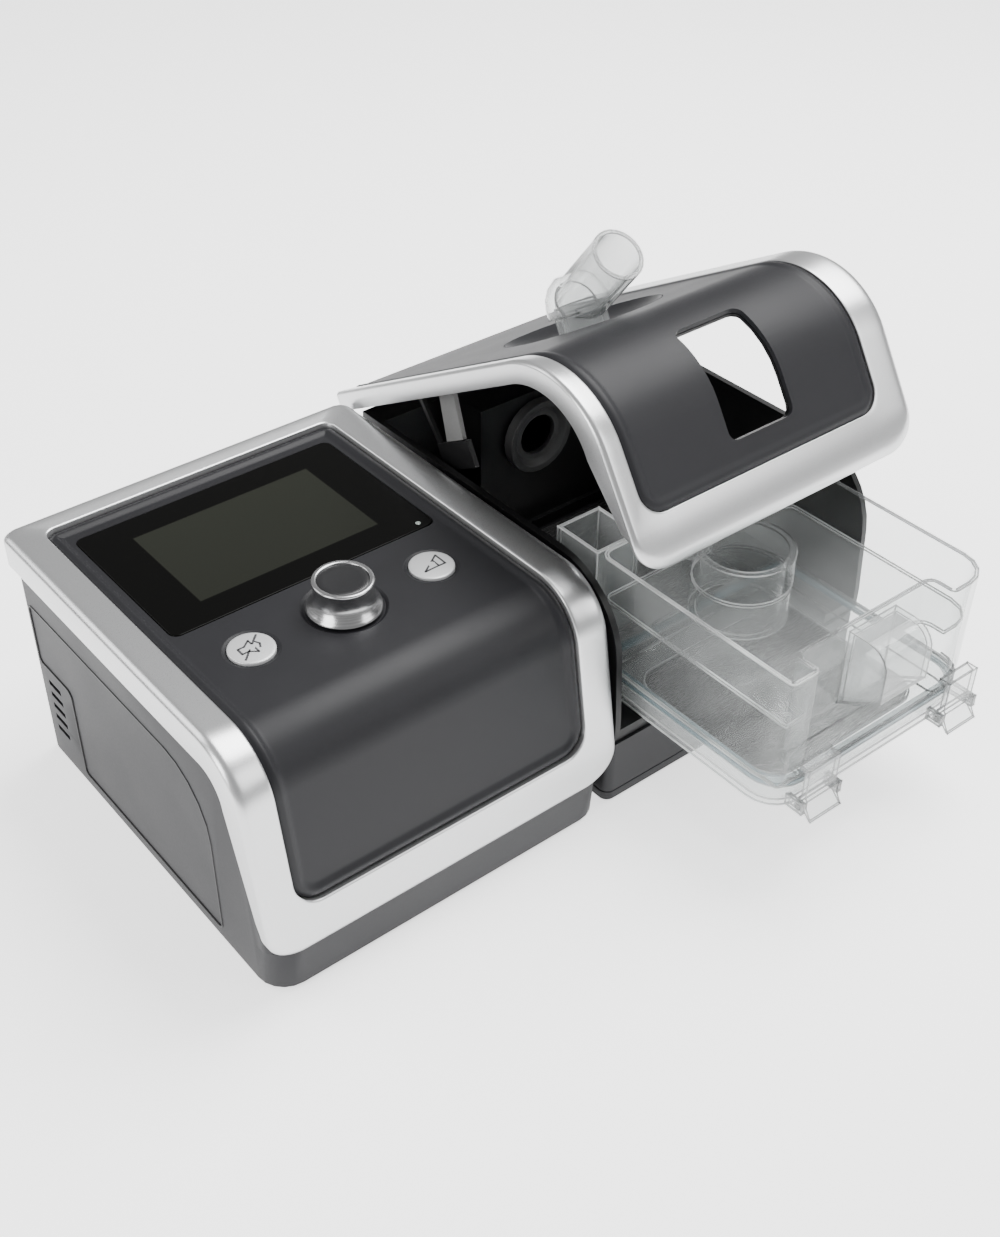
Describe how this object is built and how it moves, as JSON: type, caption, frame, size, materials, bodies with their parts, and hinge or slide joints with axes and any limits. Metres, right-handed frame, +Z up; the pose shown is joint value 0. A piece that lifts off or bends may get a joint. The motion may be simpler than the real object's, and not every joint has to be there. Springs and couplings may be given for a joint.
{
  "type": "bilevel positive airway pressure machine",
  "caption": "Bilevel positive airway pressure machine with a docked humidifier: hinged lid with a swivelling outlet, pull-out water chamber, dial, buttons and inner blower.",
  "frame": {"origin": "middle of the whole object's bounding box in plan, on the surface it stands on, with the lid open and the chamber drawn out", "axes": "+X to the machine's right, +Y to its back, +Z up"},
  "size_m": [0.3118, 0.2624, 0.1937],
  "materials": {
    "charcoal_case": "satin",
    "silver_trim": "satin",
    "dark_plastic": "satin",
    "display_glass": "gloss",
    "display": "gloss",
    "indicator": "gloss",
    "circuit_board": "satin",
    "blower_plastic": "satin",
    "motor_steel": "brushed",
    "heater_metal": "brushed",
    "heating_element": "satin",
    "soft_rubber": "matte",
    "seal_silicone": "satin",
    "filter_fibre": "matte",
    "clear_plastic": "gloss",
    "button_silver": "satin",
    "knob_metal": "polished",
    "knob_black": "gloss",
    "stay_grey": "satin"
  },
  "bodies": {
    "machine": {"lower_case": "charcoal_case", "top_panel": "charcoal_case", "trim_frame": "silver_trim", "side_panel": "charcoal_case", "display_window": "display_glass", "display_module": "display", "front_board": "circuit_board", "status_light": "indicator", "encoder_body": "dark_plastic", "blower_housing": "blower_plastic", "blower_cover": "blower_plastic", "blower_motor": "motor_steel", "blower_isolator": "soft_rubber", "outlet_duct": "blower_plastic", "port_seal": "soft_rubber", "air_filter": "filter_fibre", "filter_cover": "dark_plastic", "power_inlet": "dark_plastic", "card_reader": "dark_plastic", "main_board": "circuit_board", "board_screw_front": "motor_steel", "board_screw_rear": "motor_steel", "unit_front_foot": "soft_rubber", "unit_rear_foot": "soft_rubber", "humidifier_base": "charcoal_case", "humidifier_bottom": "dark_plastic", "heater_board": "circuit_board", "heater_plate": "heater_metal", "heater_element": "heating_element", "bay_frame": "dark_plastic", "hinge_rod": "motor_steel", "duct_coupling": "soft_rubber", "humidifier_front_foot": "soft_rubber", "humidifier_rear_foot": "soft_rubber"},
    "lid": {"lid_trim": "silver_trim", "lid_panel": "charcoal_case", "lid_liner": "dark_plastic", "elbow_socket": "charcoal_case", "outlet_plenum": "dark_plastic", "outlet_gasket": "soft_rubber", "lid_stay": "stay_grey", "stay_shoe": "dark_plastic"},
    "elbow": {"outlet_elbow": "clear_plastic"},
    "chamber": {"chamber_tray": "clear_plastic", "chamber_tub": "clear_plastic", "chamber_cover": "clear_plastic", "chamber_seal": "seal_silicone", "chamber_heat_plate": "heater_metal", "inlet_box": "clear_plastic", "chamber_grip": "clear_plastic"},
    "left_latch": {"left_clip": "clear_plastic"},
    "right_latch": {"right_clip": "clear_plastic"},
    "dial_shaft": {"encoder_shaft": "motor_steel"},
    "dial": {"knob_skirt": "knob_metal", "knob_insert": "knob_black"},
    "mute": {"mute_button": "button_silver"},
    "ramp": {"ramp_button": "button_silver"},
    "rotor": {"impeller": "blower_plastic", "motor_shaft": "motor_steel"}
  },
  "joints": [
    {"name": "lid_hinge", "type": "hinge", "parent": "machine", "child": "lid", "pos_m": [0.081, 0.12181, 0.0868], "axis": [-1, 0, 0], "range_deg": [-5, 30.5]},
    {"name": "elbow_swivel", "type": "hinge", "parent": "lid", "child": "elbow", "pos_m": [0.07945, 0.05682, 0.15415], "axis": [0, 0.4917, 0.8708], "continuous": true},
    {"name": "chamber_slide", "type": "slide", "parent": "machine", "child": "chamber", "axis": [0, 1, 0], "range_m": [-0.01, 0.098]},
    {"name": "left_clip_hinge", "type": "hinge", "parent": "chamber", "child": "left_latch", "pos_m": [0.0431, -0.12599, 0.0409], "axis": [1, 0, 0], "range_deg": [0, 60]},
    {"name": "right_clip_hinge", "type": "hinge", "parent": "chamber", "child": "right_latch", "pos_m": [0.1223, -0.12599, 0.0409], "axis": [1, 0, 0], "range_deg": [0, 60]},
    {"name": "dial_press", "type": "slide", "parent": "machine", "child": "dial_shaft", "axis": [0, 0, -1], "range_m": [0, 0.0006], "stiffness_N_per_m": 900, "springref_m": -0.0004},
    {"name": "dial_turn", "type": "hinge", "parent": "dial_shaft", "child": "dial", "pos_m": [-0.07515, 0.00741, 0.1054], "axis": [0, 0, 1], "continuous": true},
    {"name": "mute_press", "type": "slide", "parent": "machine", "child": "mute", "axis": [0, 0, -1], "range_m": [0, 0.0008], "stiffness_N_per_m": 400, "springref_m": -0.0005},
    {"name": "ramp_press", "type": "slide", "parent": "machine", "child": "ramp", "axis": [0, 0, -1], "range_m": [0, 0.0008], "stiffness_N_per_m": 400, "springref_m": -0.0005},
    {"name": "blower_spin", "type": "hinge", "parent": "machine", "child": "rotor", "pos_m": [-0.0959, 0.05591, 0.0308], "axis": [0, 0, 1], "continuous": true}
  ]
}
